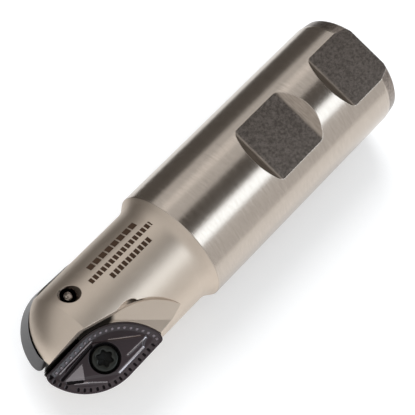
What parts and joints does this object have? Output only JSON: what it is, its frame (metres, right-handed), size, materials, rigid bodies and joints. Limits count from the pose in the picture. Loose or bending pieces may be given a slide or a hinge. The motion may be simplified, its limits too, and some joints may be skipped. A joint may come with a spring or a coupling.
{
  "type": "ball nose end mill",
  "caption": "Indexable ball nose end mill: two-flat side-lock shank, one-piece steel body, leaf-shaped carbide inserts held by six-lobe screws, through coolant.",
  "frame": {"origin": "on the tool axis at the front end of the ground shank, where the shoulder starts", "axes": "+X along the tool axis towards the cutting end, +Z the outward normal of the clamping flats, +Y to the side of insert 1, whose rake face looks along +Z and leans 10 degrees towards the tip"},
  "size_m": [0.0929, 0.0254, 0.0254],
  "materials": {
    "body_steel": "satin nickel on the neck and head, ground and bright on the shank",
    "coated_carbide": "dark purple-black coated carbide, glossy",
    "screw_steel": "black oxide, semi-gloss"
  },
  "bodies": {
    "cutter_body": {"cutter_body": "body_steel"},
    "insert_1": {"insert_1": "coated_carbide"},
    "insert_screw_1": {"insert_screw_1": "screw_steel"},
    "insert_2": {"insert_2": "coated_carbide"},
    "insert_screw_2": {"insert_screw_2": "screw_steel"}
  },
  "joints": [
    {"name": "insert_1_lift", "type": "slide", "parent": "cutter_body", "child": "insert_1", "axis": [0.1733, -0.061, 0.983], "range_m": [0, 0.0105]},
    {"name": "insert_screw_1_turn", "type": "hinge", "parent": "insert_1", "child": "insert_screw_1", "pos_m": [0.02601, 0.00615, 0.00225], "axis": [0.1733, -0.061, 0.983], "range_deg": [0, 5400]},
    {"name": "insert_2_lift", "type": "slide", "parent": "cutter_body", "child": "insert_2", "axis": [0.1733, 0.061, -0.983], "range_m": [0, 0.0105]},
    {"name": "insert_screw_2_turn", "type": "hinge", "parent": "insert_2", "child": "insert_screw_2", "pos_m": [0.02601, -0.00615, -0.00225], "axis": [0.1733, 0.061, -0.983], "range_deg": [0, 5400]}
  ],
  "couplings": [
    {"joint": "insert_screw_1_turn", "follows": "insert_1_lift", "rad_per_m": 8976},
    {"joint": "insert_screw_2_turn", "follows": "insert_2_lift", "rad_per_m": 8976}
  ]
}
